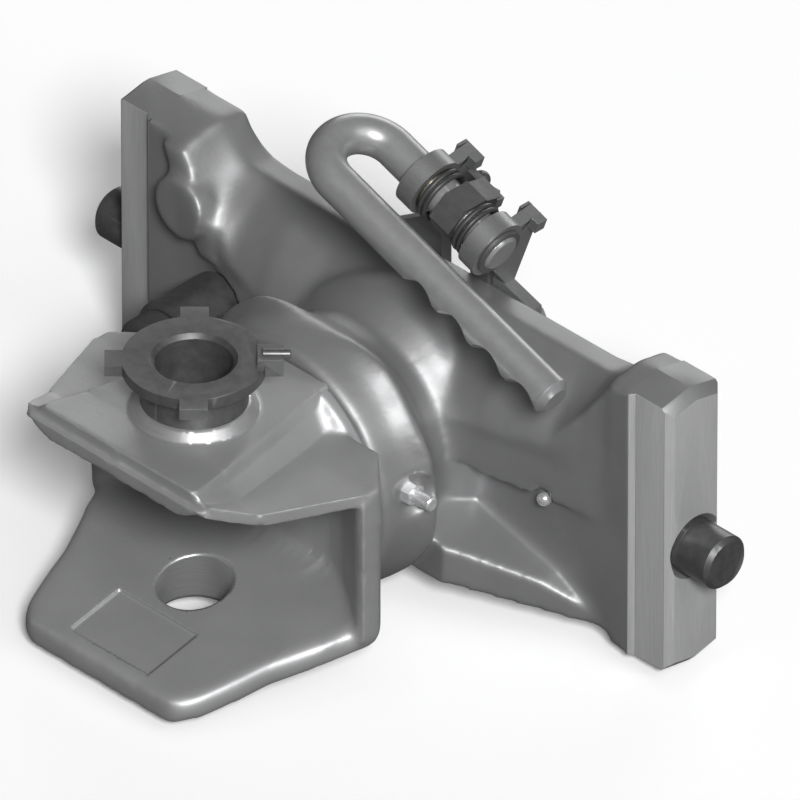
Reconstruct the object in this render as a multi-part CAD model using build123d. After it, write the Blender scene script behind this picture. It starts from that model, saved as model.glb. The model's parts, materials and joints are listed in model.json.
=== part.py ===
from build123d import *
from math import cos, radians, sin, sqrt
import os

# A towing jaw hitch for the ladder rails at the back of a tractor. The origin is the coupling point:
# +Z runs up the coupling pin's bore, +Y points to the tractor and +X to the right seen from the trailer.

# Ladder rails and the guide tongues that slide in them
rail_width = 330.0
tongue_depth = 32.0
tongue_reach = 19.5
tongue_front_y = 116.4
tongue_chamfer = 3.3
lip_step = 2.5
post_top = 76.0
post_bottom = -57.8
draft_peak = 3.5
end_bevel = 4.5
bolt_countersink = 2.6

# Carriage arms, web and foot flange
post_inner_left = 117.7
post_inner_right = 131.0
arm_top = 59.2
blend_radius = 27.0
blend_reach = 25.0
overhang_z = 2.7
shoulder_z = 25.0
shoulder_rise = 1.6
shoulder_setback = 1.5
arm_front_y = 99.5
arm_root_x = 49.0
flange_front_y = 81.0
flange_corner_x = 66.0
flange_tip_x = 124.5
flange_root_top = -20.4
flange_tip_top = -45.5
flange_bottom = -43.5
flange_tip_bottom = -56.0

# Buttress with a round boss at the foot of the left post
buttress_front_y = 108.5
buttress_outline = (
    (-117.7, 75.0),
    (-131.0, 73.0),
    (-121.0, 50.0),
    (-107.0, 25.0),
    (-98.0, 25.0),
    (-98.0, 45.0),
)
post_boss_x = -115.0
post_boss_z = 47.6
post_boss_radius = 15.0
post_boss_front_y = 104.0

# Hub and the jaw's shank
hub_front_y = 52.0
hub_radius = 61.0
hub_swell = 3.0
hub_swell_y = 74.0
hub_waist = 57.0
thrust_radius = 48.0
thrust_depth = 2.5
shank_radius = 25.0
shank_clearance = 2.0
bush_wall = 3.5
bush_length = 27.0
running_gap = 0.05
face_gap = 0.3
thread_radius = 20.8
shank_shoulder_y = 116.4
shank_end_y = 142.0
brake_seat_y = 112.0
brake_bore = 34.0
washer_radius = 31.0
washer_thickness = 4.0
disc_spring_radius = 31.5
disc_thickness = 1.0
disc_lift = 0.9
nut_flats = 55.0
nut_height = 16.0
cover_radius = 46.0
cover_thickness = 4.0
cover_screw_circle = 40.0
screw_gap = 0.15

# Jaw
jaw_front_y = -48.5
jaw_front_half = 52.5
jaw_shoulder_y = -24.0
jaw_shoulder_half = 63.5
jaw_corner_y = 22.4
jaw_corner_half = 81.7
jaw_rear_y = 29.2
jaw_back_y = 46.4
jaw_back_half = 63.0
pad_top = 54.8
pad_front_half = 46.5
pad_rear_half = 28.3
pad_crease_z = 48.0
pad_crest = 1.7
wing_top = 40.0
wing_thickness = 6.0
upper_underside = 43.0
front_lip_top = 50.4
front_lip_depth = 3.0
lower_top = -35.0
lower_slope = 0.2
lower_thickness = 12.6
lower_front_y = -58.0
lower_front_half = 44.6
lower_corner_y = -50.0
lower_corner_half = 51.3
lower_rear_half = 79.5
lower_waist = ((57.3, -33.0), (61.8, -17.0), (71.3, 3.0))
wall_thickness = 10.6
mouth_depth_y = 31.0
mouth_half = 71.0
collar_depth = 8.0
collar_spread = 8.0
collar_reach = 5.0
collar_back_y = jaw_back_y + collar_reach
pin_bore = 16.6
lower_boss_radius = 29.0
lower_boss_bottom = -54.4
cone_base_radius = 28.0
cone_top_radius = 23.2
cone_height = 4.8
badge_half_x = 23.4
badge_front_y = -52.0
badge_rear_y = -22.0
badge_depth = 0.9

# Guide bush of the coupling pin, with its bayonet ring
bush_neck_radius = 22.8
bush_seat_gap = 0.03
ring_radius = 30.5
ring_top = 80.3
ring_thickness = 5.0
ring_bevel = 4.0
lug_reach = 37.5
lug_width = 12.0
lug_height = 5.2
lock_pin_seat_top = 3.2
lock_pin_rise = 2.2
bore_chamfer = 1.9
lock_pin_radius = 2.2

# Locking bolts and their drive
bolt_radius = 12.5
bolt_gap = 0.08
bolt_axis_y = tongue_front_y + tongue_depth / 2
bolt_tip_x = 183.5
bolt_tip_radius = 12.3
bolt_step_gap = 0.5
bolt_inner_x = 74.0
bolt_chamfer = 2.0
bolt_bore_end_x = 41.5
bolt_travel = 19.0
drive_pin_x = 105.0
drive_pin_radius = 5.0
drive_gap = 0.3
spring_radius = 8.0
spring_wire = 1.3
spring_turns = 5
coil_runs = 12

# Lift plate behind the carriage
carriage_back_y = tongue_front_y + tongue_depth
plate_gap = 0.8
plate_thickness = 6.0
plate_margin = 13.0
plate_corner = 12.0
plate_half = drive_pin_x + plate_margin
plate_bottom = -14.0
plate_foot = -29.0
plate_top = 27.0
plate_waist_bottom = -4.0
tongue_x = 20.0
tongue_half = 5.5
pad_length = 12.7
pad_thickness = 5.0
pad_play = 1.0
guide_screw_x = 62.0
guide_screw_z = -20.0
guide_screw_radius = 4.0

# Handle, its shaft and the two bracket ears
shaft_tilt = 20.1
shaft_y = 130.0
shaft_ref_x = 49.8
shaft_ref_z = 95.7
bar_radius = 8.8
hairpin_radius = 17.4
bend_t = -64.4
shaft_end_t = 3.2
grip_length = 138.0
grip_scallops = 4
scallop_pitch = 21.5
scallop_depth = 4.2
scallop_radius = 13.0
ear_ring_radius = 14.0
ear_ring_length = 9.0
ear_spacing = 39.5
ear_thickness = 6.0
ear_bush_wall = 2.0
ear_rear = 24.4
ear_drop = 42.2
ear_foot_depth = 5.3
ear_tab_length = 11.8
ear_tab_low = -4.5
ear_tab_high = 1.5
ear_tab_depth = 5.5
ear_screw_radius = 4.0
hex_flats = 22.0
hex_length = 12.0
crank_length = 19.0
crank_radius = 20.0
crank_angle = 3.0
crank_low_edge = 0.4
handle_travel = 50.0
ball_radius = 4.0
torsion_radius = 11.3
torsion_wire = 1.2
torsion_turns = 2

# Side plunger that holds the left bolt, and the grease nipples
plunger_x = -98.0
plunger_radius = 18.0
plunger_front_y = 79.0
knob_radius = 15.5
knob_front_y = 65.0
plunger_stem = 5.0
plunger_travel = 8.0
nipple_hex = 9.0
nipple_tube = 3.4
nipple_length = 15.0
hub_nipple_y = 68.0
hub_nipple_z = 7.5
hub_nipple_seat_x = hub_radius - 2.5
ball_nipple_x = 97.4
ball_nipple_z = 1.5
ball_nipple_y = 110.4
ball_nipple_radius = 3.3

web_front_y = tongue_front_y - lip_step
thrust_seat_y = hub_front_y + thrust_depth
half_width = rail_width / 2
tongue_inner_x = half_width - tongue_reach
left, right = -1, 1
on_base = (Align.CENTER, Align.CENTER, Align.MIN)
post_inner = {left: post_inner_left, right: post_inner_right}
side_name = {left: "left", right: "right"}
crank_low = radians(crank_angle - handle_travel)
plate_travel = crank_radius * (sin(radians(crank_angle)) - sin(crank_low)) * cos(radians(shaft_tilt))

shaft_dir = Vector(cos(radians(shaft_tilt)), 0, -sin(radians(shaft_tilt)))


def shaft_plane(t):
    """Plane across the handle's shaft at distance t along it, with x to the tractor and y upwards."""
    origin = Vector(shaft_ref_x, shaft_y, shaft_ref_z) + shaft_dir * t
    return Plane(origin=origin, x_dir=(0, 1, 0), z_dir=shaft_dir)


def block(x_range, y_range, z_range):
    """Box between three pairs of limits."""
    size = [high - low for low, high in (x_range, y_range, z_range)]
    centre = [(high + low) / 2 for low, high in (x_range, y_range, z_range)]
    return Pos(*centre) * Box(*size)


def rod(radius, start, end):
    """Round bar between two points."""
    run = Vector(*end) - Vector(*start)
    return extrude(Plane(origin=start, z_dir=run) * Circle(radius), run.length)


def tube(outer, inner, start, end):
    return rod(outer, start, end) - rod(inner, start, end)


def outline(points):
    return make_face(Polyline(*points, close=True))


def prism_x(points_yz, x_low, x_high):
    """Prism along X from an outline of (y, z) points."""
    plane = Plane(origin=(x_low, 0, 0), x_dir=(0, 1, 0), z_dir=(1, 0, 0))
    return extrude(plane * outline(points_yz), x_high - x_low)


def prism_y(points_xz, y_low, y_high):
    """Prism along Y from an outline of (x, z) points."""
    plane = Plane(origin=(0, y_high, 0), x_dir=(1, 0, 0), z_dir=(0, -1, 0))
    return extrude(plane * outline(points_xz), y_high - y_low)


def prism_z(points_xy, z_low, z_high):
    """Prism along Z from an outline of (x, y) points."""
    return extrude(Plane.XY.offset(z_low) * outline(points_xy), z_high - z_low)


def revolve_y(points_ry, x=0.0, z=0.0):
    """Body turned about a line along Y from an outline of (radius, y) points."""
    return Pos(x, 0, z) * revolve(outline(points_ry), Axis.Y)


def revolve_z(points_rz):
    """Body turned about the Z axis from an outline of (radius, z) points."""
    return revolve(Plane.XZ * outline(points_rz), Axis.Z)


def hexagon(flats, length, plane):
    return extrude(plane * RegularPolygon(flats / 2, 6, major_radius=False), length)


def coil(radius, wire, turns, length, plane):
    """Spring along the plane's normal, from wire's middle to wire's middle, in short straight runs."""
    count = turns * coil_runs
    points = []
    for index in range(count + 1):
        angle = radians(index * 360 / coil_runs)
        points.append((radius * cos(angle), radius * sin(angle), length * index / count))
    path = Polyline(*points)
    section = Plane(path @ 0, z_dir=path % 0) * RegularPolygon(wire, 6)
    return plane * sweep(section, path=path, transition=Transition.RIGHT)


# Carriage

def ridge_height(side, x):
    """Height of the parting ridge along an arm, rising in an arc to the post's top."""
    low = arm_top + draft_peak
    start = post_inner[side] - blend_reach
    if x <= start:
        return low
    return min(low + blend_radius - sqrt(blend_radius**2 - (x - start) ** 2), post_top + draft_peak)


def shoulder_height(side, x):
    """Height of the arm's rounded front shoulder, which climbs to the post's front corner."""
    rising = post_top - shoulder_rise * (post_inner[side] - x)
    return (shoulder_z + rising + sqrt((rising - shoulder_z) ** 2 + 6.0**2)) / 2


def arm_front(side, x):
    """Depth of the arm's front face, which runs back to the web's plane at the post."""
    share = min(x / (post_inner[side] - 2), 1)
    root = arm_front_y - (web_front_y - arm_front_y) * arm_root_x / (post_inner[side] - arm_root_x)
    return root + (web_front_y - root) * share


def arm(side):
    end = post_inner[side]
    blend_start = end - blend_reach
    stations = [0, arm_root_x, (arm_root_x + blend_start) / 2, blend_start - 5]
    stations += [blend_start + blend_reach * share for share in (0.3, 0.6, 0.85, 1)]
    sections = []
    for x in stations:
        front = arm_front(side, x)
        ridge = ridge_height(side, x)
        points = [
            (carriage_back_y, overhang_z),
            (carriage_back_y, ridge - draft_peak),
            (bolt_axis_y, ridge),
            (front + shoulder_setback, min(shoulder_height(side, x), post_top)),
            (front, overhang_z),
        ]
        plane = Plane(origin=(side * x, 0, 0), x_dir=(0, 1, 0), z_dir=(1, 0, 0))
        sections.append(plane * outline(points))
    return loft(sections, ruled=True)


def post_outline(lowered):
    """Side view of a post with its peaked ends brought in, as a list of (y, z) points."""
    return [
        (web_front_y, post_top - lowered),
        (bolt_axis_y, post_top + draft_peak - lowered),
        (carriage_back_y, post_top - lowered),
        (carriage_back_y, post_bottom + lowered),
        (bolt_axis_y, post_bottom - draft_peak + lowered),
        (web_front_y, post_bottom + lowered),
    ]


def post(side):
    inner = side * post_inner[side]
    bevel_x = side * (half_width - end_bevel)
    body = prism_x(post_outline(0), min(inner, bevel_x), max(inner, bevel_x))
    ends = []
    for x, lowered in ((bevel_x, 0), (side * half_width, end_bevel)):
        plane = Plane(origin=(x, 0, 0), x_dir=(0, 1, 0), z_dir=(1, 0, 0))
        ends.append(plane * outline(post_outline(lowered)))
    body += loft(ends, ruled=True)
    reach = post_top * 3
    step = [
        (side * (tongue_inner_x - lip_step), web_front_y - 1),
        (side * (tongue_inner_x - lip_step), web_front_y),
        (side * tongue_inner_x, tongue_front_y),
        (side * (half_width + 1), tongue_front_y),
        (side * (half_width + 1), web_front_y - 1),
    ]
    body -= prism_z(step, -reach, reach)
    for y, inward in ((tongue_front_y, 1), (carriage_back_y, -1)):
        corner = [
            (side * (half_width - tongue_chamfer), y),
            (side * (half_width + 1), y),
            (side * (half_width + 1), y + inward * (tongue_chamfer + 1)),
        ]
        body -= prism_z(corner, -reach, reach)
    return body


def buttress():
    """Sloping thickening in front of the left post's root, with its round boss."""
    boss_end = (post_boss_x, web_front_y, post_boss_z)
    boss = rod(post_boss_radius, (post_boss_x, post_boss_front_y, post_boss_z), boss_end)
    return prism_y(buttress_outline, buttress_front_y, bolt_axis_y) + boss


def foot_outline():
    """Front view of the web and its foot flange, as (x, z) points of one half."""
    return [
        (flange_corner_x - 12, flange_root_top),
        (flange_corner_x, flange_root_top - 4),
        (flange_corner_x + 16, flange_root_top - 8),
        (flange_tip_x - 22, flange_root_top - 13.5),
        (flange_tip_x, flange_tip_top),
        (tongue_inner_x - lip_step, flange_tip_bottom + 1),
        (tongue_inner_x - lip_step, flange_tip_bottom),
        (flange_corner_x, flange_bottom),
    ]


def mirrored(points):
    """Both halves of an outline, from the points of its right half."""
    return points + [(-x, other) for x, other in reversed(points)]


def foot_flange():
    profile = prism_y(mirrored(foot_outline()), flange_front_y, carriage_back_y)
    plan = [(flange_corner_x, flange_front_y), (flange_tip_x, web_front_y)]
    plan += [(tongue_inner_x, web_front_y), (tongue_inner_x, carriage_back_y)]
    return profile & prism_z(mirrored(plan), post_bottom - draft_peak, 0)


def hub_blank():
    points = [
        (0, hub_front_y),
        (hub_radius - 2.5, hub_front_y),
        (hub_radius, hub_front_y + 2.5),
        (hub_radius + hub_swell, hub_swell_y),
        (hub_waist + 2, hub_swell_y + 8),
        (hub_waist, hub_swell_y + 16),
        (hub_waist + 2, bolt_axis_y),
        (hub_waist, carriage_back_y),
        (0, carriage_back_y),
    ]
    return revolve_y(points)


def hub_bores():
    """Everything turned out of the hub: bush seats, shank clearance, brake chamber and cover recess."""
    seat = shank_radius + bush_wall
    clear = shank_radius + shank_clearance
    front_end = thrust_seat_y + bush_length
    rear_start = brake_seat_y - bush_length
    points = [
        (0, hub_front_y - 1),
        (thrust_radius + face_gap, hub_front_y - 1),
        (thrust_radius + face_gap, thrust_seat_y),
        (seat, thrust_seat_y),
        (seat, front_end),
        (clear, front_end),
        (clear, rear_start),
        (seat, rear_start),
        (seat, brake_seat_y),
        (brake_bore, brake_seat_y),
        (brake_bore, carriage_back_y - cover_thickness),
        (cover_radius, carriage_back_y - cover_thickness),
        (cover_radius, carriage_back_y + 1),
        (0, carriage_back_y + 1),
    ]
    return revolve_y(points)


def ring_of_points(radius, count, start_deg=45.0):
    for index in range(count):
        angle = radians(start_deg + index * 360 / count)
        yield radius * cos(angle), radius * sin(angle)


def carriage():
    web = block((-tongue_inner_x + lip_step, tongue_inner_x - lip_step),
                (web_front_y, carriage_back_y), (flange_tip_top, arm_top / 2))
    body = web + hub_blank() + foot_flange()
    for side in (left, right):
        body += arm(side)
        body += post(side)
    body += buttress()
    body -= hub_bores()
    for side in (left, right):
        tip = side * (half_width + 1)
        bore = bolt_radius + bolt_gap
        body -= rod(bore, (side * bolt_bore_end_x, bolt_axis_y, 0), (tip, bolt_axis_y, 0))
        mouth = Plane(origin=(side * (half_width - bolt_countersink), bolt_axis_y, 0), z_dir=(side, 0, 0))
        body -= mouth * Cone(bore, bore + bolt_countersink, bolt_countersink, align=on_base)
        slot_half = drive_pin_radius + drive_gap
        slot_start = side * drive_pin_x
        slot_end = side * (drive_pin_x - bolt_travel)
        low, high = sorted((slot_start, slot_end))
        body -= block((low, high), (bolt_axis_y, carriage_back_y + 1), (-slot_half, slot_half))
        for x in (low, high):
            body -= rod(slot_half, (x, bolt_axis_y, 0), (x, carriage_back_y + 1, 0))
    body -= rod(plunger_radius + 2, (plunger_x, web_front_y - 20, 0), (plunger_x, web_front_y, 0))
    body -= rod(plunger_stem + face_gap, (plunger_x, web_front_y - 1, 0), (plunger_x, bolt_axis_y, 0))
    body -= rod(ball_nipple_radius + 2, (ball_nipple_x, web_front_y - 10, ball_nipple_z),
                (ball_nipple_x, web_front_y, ball_nipple_z))
    body -= rod(nipple_hex, (hub_nipple_seat_x, hub_nipple_y, hub_nipple_z),
                (hub_radius + 20, hub_nipple_y, hub_nipple_z))
    for x, z in ring_of_points(cover_screw_circle, 4):
        body -= rod(2.5, (x, carriage_back_y - 16, z), (x, carriage_back_y, z))
    for x in (-guide_screw_x, guide_screw_x):
        body -= rod(guide_screw_radius, (x, carriage_back_y - 14, guide_screw_z),
                    (x, carriage_back_y + 1, guide_screw_z))
    for x, z in ear_screw_places():
        body -= rod(ear_screw_radius, (x, carriage_back_y - 14, z), (x, carriage_back_y + 1, z))
    return body


def ear_screw_places():
    return [(-30.0, 46.0), (42.0, 42.0)]


# Pieces in the hub

def hub_bush(y_low):
    seat = shank_radius + bush_wall - bush_seat_gap
    return tube(seat, shank_radius + running_gap, (0, y_low, 0), (0, y_low + bush_length - face_gap, 0))


def thrust_ring():
    return tube(thrust_radius, shank_radius + shank_clearance,
                (0, collar_back_y + face_gap, 0), (0, thrust_seat_y - running_gap, 0))


def disc_springs():
    """Two coned discs, back to back, that brake the jaw's turning."""
    inner = thread_radius + 4.6
    seat = brake_seat_y + 0.1
    discs = []
    for rim_y, eye_y in ((seat, seat + disc_lift), (seat + 3 * disc_lift + 0.4, seat + 2 * disc_lift + 0.4)):
        points = [
            (inner, eye_y),
            (disc_spring_radius, rim_y),
            (disc_spring_radius, rim_y + disc_thickness),
            (inner, eye_y + disc_thickness),
        ]
        discs.append(revolve_y(points))
    return discs


def shank_washer():
    low = shank_shoulder_y + 0.1
    return tube(washer_radius, thread_radius + 0.2, (0, low, 0), (0, low + washer_thickness, 0))


def shank_nut():
    """Castle nut with six slots for the split pin."""
    low = shank_shoulder_y + washer_thickness + 0.2
    plane = Plane(origin=(0, low + nut_height, 0), x_dir=(1, 0, 0), z_dir=(0, -1, 0))
    body = hexagon(nut_flats, nut_height, plane)
    body -= rod(thread_radius + 0.1, (0, low - 1, 0), (0, low + nut_height + 1, 0))
    for index in range(3):
        slot = block((-nut_flats, nut_flats), (low + nut_height - 5, low + nut_height + 1), (-2.5, 2.5))
        body -= Rot(0, 60 * index, 0) * slot
    return body


def split_pin():
    y = shank_shoulder_y + washer_thickness + nut_height - 2.3
    pin = rod(1.9, (-nut_flats / 2 - 1, y, 0), (nut_flats / 2 + 1, y, 0))
    return pin + Pos(-nut_flats / 2 - 2.4, y, 0) * Sphere(3.0)


def rear_cover():
    low = carriage_back_y - cover_thickness + 0.02
    body = rod(cover_radius - 0.3, (0, low, 0), (0, carriage_back_y, 0))
    for x, z in ring_of_points(cover_screw_circle, 4):
        body -= rod(2.6, (x, low - 1, z), (x, carriage_back_y + 1, z))
        body -= revolve_y([(0, carriage_back_y - 2.6), (2.6, carriage_back_y - 2.6),
                           (5.2, carriage_back_y), (5.2, carriage_back_y + 1), (0, carriage_back_y + 1)], x, z)
    return body


def cover_screws():
    screws = []
    for x, z in ring_of_points(cover_screw_circle, 4):
        top = carriage_back_y - 0.1
        points = [(0, top - 15), (2.4, top - 15), (2.4, top - 2.6), (5.0, top), (0, top)]
        screw = revolve_y(points, x, z)
        screw -= Pos(x, 0, z) * hexagon(3.0, 2.0, Plane(origin=(0, top, 0), x_dir=(1, 0, 0), z_dir=(0, -1, 0)))
        screws.append(screw)
    return screws


# Jaw

def pad_half(y):
    """Half width of the raised pad on the upper plate, which narrows towards the hub."""
    share = (y - jaw_front_y) / (jaw_back_y - jaw_front_y)
    return pad_front_half + (pad_rear_half - pad_front_half) * share


def upper_section(y, edge_half, edge_top, crest):
    """Cross-section of the upper plate at depth y, as a face across Y."""
    half = pad_half(y)
    crease_z = pad_crease_z + (pad_top - pad_crease_z) * crest
    foot_z = edge_top + (pad_top - edge_top) * 0.1 * crest
    half_points = [
        (half, pad_top + pad_crest * crest),
        (half + 0.9 + 2 * crest, crease_z),
        (half + 7.7 - 3 * crest, foot_z),
        (edge_half, edge_top),
        (edge_half, edge_top - wing_thickness),
        (half + 3.0, edge_top - wing_thickness),
        (half - 6.0, upper_underside),
    ]
    plane = Plane(origin=(0, y, 0), x_dir=(1, 0, 0), z_dir=(0, -1, 0))
    return plane * outline(mirrored(half_points))


def upper_plate():
    sections = [
        upper_section(jaw_front_y, jaw_front_half, pad_top, 1),
        upper_section(jaw_shoulder_y, jaw_shoulder_half, wing_top + 3.5, 0),
        upper_section(jaw_corner_y, jaw_corner_half, wing_top, 0),
        upper_section(jaw_rear_y, jaw_corner_half, wing_top, 0),
        upper_section(jaw_back_y, jaw_back_half, wing_top, 0),
    ]
    rear = block((-pad_rear_half, pad_rear_half), (jaw_back_y - 1, collar_back_y), (upper_underside, pad_top))
    lip = block((-jaw_front_half - 1, jaw_front_half + 1),
                (jaw_front_y - 1, jaw_front_y + front_lip_depth), (front_lip_top, ring_top))
    return loft(sections, ruled=True) + rear - lip


def lower_plan():
    return [
        (lower_front_half, lower_front_y),
        (lower_corner_half, lower_corner_y),
        *lower_waist,
        (lower_rear_half, jaw_corner_y),
        (jaw_corner_half, jaw_rear_y),
        (jaw_back_half, jaw_back_y),
    ]


def lower_height(y):
    return lower_top + lower_slope * y


def lower_plate():
    low = lower_front_y - 5
    blank = prism_z(mirrored(lower_plan()), post_bottom - 20, 0)
    band = [
        (low, lower_height(low)),
        (jaw_back_y + 1, lower_height(jaw_back_y + 1)),
        (jaw_back_y + 1, lower_height(jaw_back_y + 1) - lower_thickness),
        (low, lower_height(low) - lower_thickness),
    ]
    plate = blank & prism_x(band, -rail_width, rail_width)
    return plate


def back_wall():
    """Wall that joins the plates, hollowed towards the hub in a wide arc."""
    wall_y = jaw_rear_y - wall_thickness
    outer = [(jaw_corner_half, wall_y), (jaw_corner_half, jaw_rear_y), (jaw_back_half, jaw_back_y)]
    outline_edges = Polyline(*[(-x, y) for x, y in outer], *reversed(outer))
    sill_right = Line((jaw_corner_half, wall_y), (mouth_half, wall_y))
    hollow = ThreePointArc((mouth_half, wall_y), (0, mouth_depth_y), (-mouth_half, wall_y))
    sill_left = Line((-mouth_half, wall_y), (-jaw_corner_half, wall_y))
    face = make_face([outline_edges, sill_right, hollow, sill_left])
    top = wing_top - wing_thickness / 2
    bottom = lower_height(jaw_back_y) - lower_thickness
    return extrude(Plane.XY.offset(bottom) * face, top - bottom)


def shank():
    """Shank with the round collar that meets the hub's front."""
    collar = hub_radius - 1
    points = [
        (0, jaw_back_y - collar_depth),
        (collar - collar_spread, jaw_back_y - collar_depth),
        (collar, jaw_back_y),
        (collar, collar_back_y),
        (shank_radius, collar_back_y),
        (shank_radius, shank_shoulder_y),
        (thread_radius, shank_shoulder_y),
        (thread_radius, shank_end_y - 2),
        (thread_radius - 2, shank_end_y),
        (0, shank_end_y),
    ]
    body = revolve_y(points)
    return body - block((-collar, collar), (0, collar_back_y + 1), (pad_top, collar + 1))


def jaw():
    body = upper_plate() + back_wall() + lower_plate() + shank()
    cone = [(0, pad_top - 2), (cone_base_radius, pad_top - 2), (cone_base_radius, pad_top),
            (cone_top_radius, pad_top + cone_height), (0, pad_top + cone_height)]
    body += revolve_z(cone)
    body += rod(lower_boss_radius, (0, 0, lower_boss_bottom), (0, 0, lower_top - 6))
    body -= rod(bush_neck_radius + bush_seat_gap, (0, 0, upper_underside - 5), (0, 0, pad_top + 20))
    body -= rod(pin_bore, (0, 0, lower_boss_bottom - 1), (0, 0, lower_top + 10))
    recess = block((-badge_half_x, badge_half_x), (badge_front_y, badge_rear_y), (-badge_depth, 5))
    slope = Plane(origin=(0, 0, lower_top), x_dir=(1, 0, 0), z_dir=(0, -lower_slope, 1))
    body -= slope * recess
    y = shank_shoulder_y + washer_thickness + nut_height - 2.3
    body -= rod(2.0, (-thread_radius - 1, y, 0), (thread_radius + 1, y, 0))
    return body


def pin_guide_bush():
    points = [
        (pin_bore, upper_underside - 0.5),
        (bush_neck_radius, upper_underside - 0.5),
        (bush_neck_radius, ring_top - ring_thickness - ring_bevel),
        (ring_radius, ring_top - ring_thickness),
        (ring_radius, ring_top),
        (pin_bore + bore_chamfer, ring_top),
        (pin_bore, ring_top - bore_chamfer),
    ]
    body = revolve_z(points)
    for index in range(4):
        lug = block((bush_neck_radius + 2, lug_reach), (-lug_width / 2, lug_width / 2),
                    (ring_top - lug_height, ring_top))
        body += Rot(0, 0, 45 + 90 * index) * lug
    seat = block((ring_radius - 4, lug_reach), (-lug_width / 2, lug_width / 2),
                 (ring_top - 1, ring_top + lock_pin_seat_top))
    body += Rot(0, 0, 45) * seat
    pin_z = ring_top + lock_pin_rise
    hole = rod(lock_pin_radius + 0.1, (ring_radius - 2, 0, pin_z), (lug_reach + 1, 0, pin_z))
    body -= Rot(0, 0, 45) * hole
    return body - rod(pin_bore, (0, 0, 0), (0, 0, ring_top + 10))


def bush_lock_pin():
    pin_z = ring_top + lock_pin_rise
    pin = rod(lock_pin_radius, (ring_radius - 1.9, 0, pin_z), (lug_reach + 3, 0, pin_z))
    return Rot(0, 0, 45) * pin


# Locking bolts and drive

def locking_bolt(side):
    inner = side * bolt_inner_x
    tip = side * bolt_tip_x
    step = side * (half_width + bolt_step_gap)
    body = rod(bolt_radius, (inner, bolt_axis_y, 0), (step, bolt_axis_y, 0))
    body += rod(bolt_tip_radius, (step, bolt_axis_y, 0), (tip, bolt_axis_y, 0))
    rims = body.edges().filter_by(GeomType.CIRCLE).sort_by(Axis.X)
    body = chamfer(rims[0 if side < 0 else -1], bolt_chamfer)
    pin_x = side * drive_pin_x
    body -= rod(drive_pin_radius, (pin_x, bolt_axis_y - 8, 0), (pin_x, carriage_back_y, 0))
    return body


def drive_pin(side):
    x = side * drive_pin_x
    end = carriage_back_y + plate_gap + plate_thickness + 2
    return rod(drive_pin_radius - 0.03, (x, bolt_axis_y - 7.9, 0), (x, end, 0))


def bolt_spring(side):
    length = bolt_inner_x - bolt_bore_end_x - 2 * spring_wire - 0.4
    start = bolt_bore_end_x + spring_wire + 0.2
    plane = Plane(origin=(side * start, bolt_axis_y, 0), x_dir=(0, 0, 1), z_dir=(side, 0, 0))
    return coil(spring_radius, spring_wire, spring_turns, length, plane)


def lift_plate():
    low = carriage_back_y + plate_gap
    high = low + plate_thickness
    points = [
        (plate_half, plate_bottom),
        (plate_half, plate_top - plate_corner),
        (plate_half - plate_corner, plate_top),
        (-plate_half + plate_corner, plate_top),
        (-plate_half, plate_top - plate_corner),
        (-plate_half, plate_bottom),
        (-plate_half + 30, plate_foot),
        (-guide_screw_x + 14, plate_foot),
        (-guide_screw_x + 26, plate_waist_bottom),
        (guide_screw_x - 26, plate_waist_bottom),
        (guide_screw_x - 14, plate_foot),
        (plate_half - 30, plate_foot),
    ]
    body = prism_y(points, low, high)
    pad_z = ball_rest().Z - ball_radius - pad_play
    body += block((tongue_x - tongue_half, tongue_x + tongue_half), (low, high), (plate_top - 4, pad_z))
    body += block((tongue_x - tongue_half - 2, tongue_x + tongue_half + 1), (high - pad_length, high),
                  (pad_z - pad_thickness, pad_z))
    slot = drive_pin_radius + drive_gap
    for side in (left, right):
        start = (side * drive_pin_x, 0)
        end = (side * (drive_pin_x - bolt_travel), plate_travel)
        run = Vector(end[0] - start[0], 0, end[1] - start[1])
        for point in (start, end):
            body -= rod(slot, (point[0], low - 1, point[1]), (point[0], high + 1, point[1]))
        normal = Vector(-run.Z, 0, run.X).normalized() * slot
        corners = [
            (start[0] + normal.X, start[1] + normal.Z),
            (end[0] + normal.X, end[1] + normal.Z),
            (end[0] - normal.X, end[1] - normal.Z),
            (start[0] - normal.X, start[1] - normal.Z),
        ]
        body -= prism_y(corners, low - 1, high + 1)
    for x in (-guide_screw_x, guide_screw_x):
        half = guide_screw_radius + 1.5
        slot_low = guide_screw_z - 0.5
        slot_high = guide_screw_z + plate_travel + 0.5
        body -= block((x - half, x + half), (low - 1, high + 1), (slot_low, slot_high))
        for z in (slot_low, slot_high):
            body -= rod(half, (x, low - 1, z), (x, high + 1, z))
    return body


def guide_screws():
    """Shouldered screws that carry the lift plate in its upright slots."""
    screws = []
    end = carriage_back_y + plate_gap + plate_thickness
    for x in (-guide_screw_x, guide_screw_x):
        z = guide_screw_z
        body = rod(guide_screw_radius - 0.1, (x, carriage_back_y - 13, z), (x, carriage_back_y, z))
        body += rod(guide_screw_radius + 1.2, (x, carriage_back_y, z), (x, end + 0.4, z))
        body += rod(10.0, (x, end + 0.4, z), (x, end + 2.4, z))
        head = Plane(origin=(x, end + 7.9, z), x_dir=(1, 0, 0), z_dir=(0, -1, 0))
        body += hexagon(13.0, 5.5, head)
        screws.append(body)
    return screws


# Handle group

def ball_rest():
    """Middle of the crank's ball with the handle at rest."""
    t = (tongue_x - shaft_ref_x) / shaft_dir.X
    angle = radians(crank_angle)
    plane = shaft_plane(t)
    return plane.from_local_coords(Vector(crank_radius * cos(angle), crank_radius * sin(angle), 0))


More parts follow.
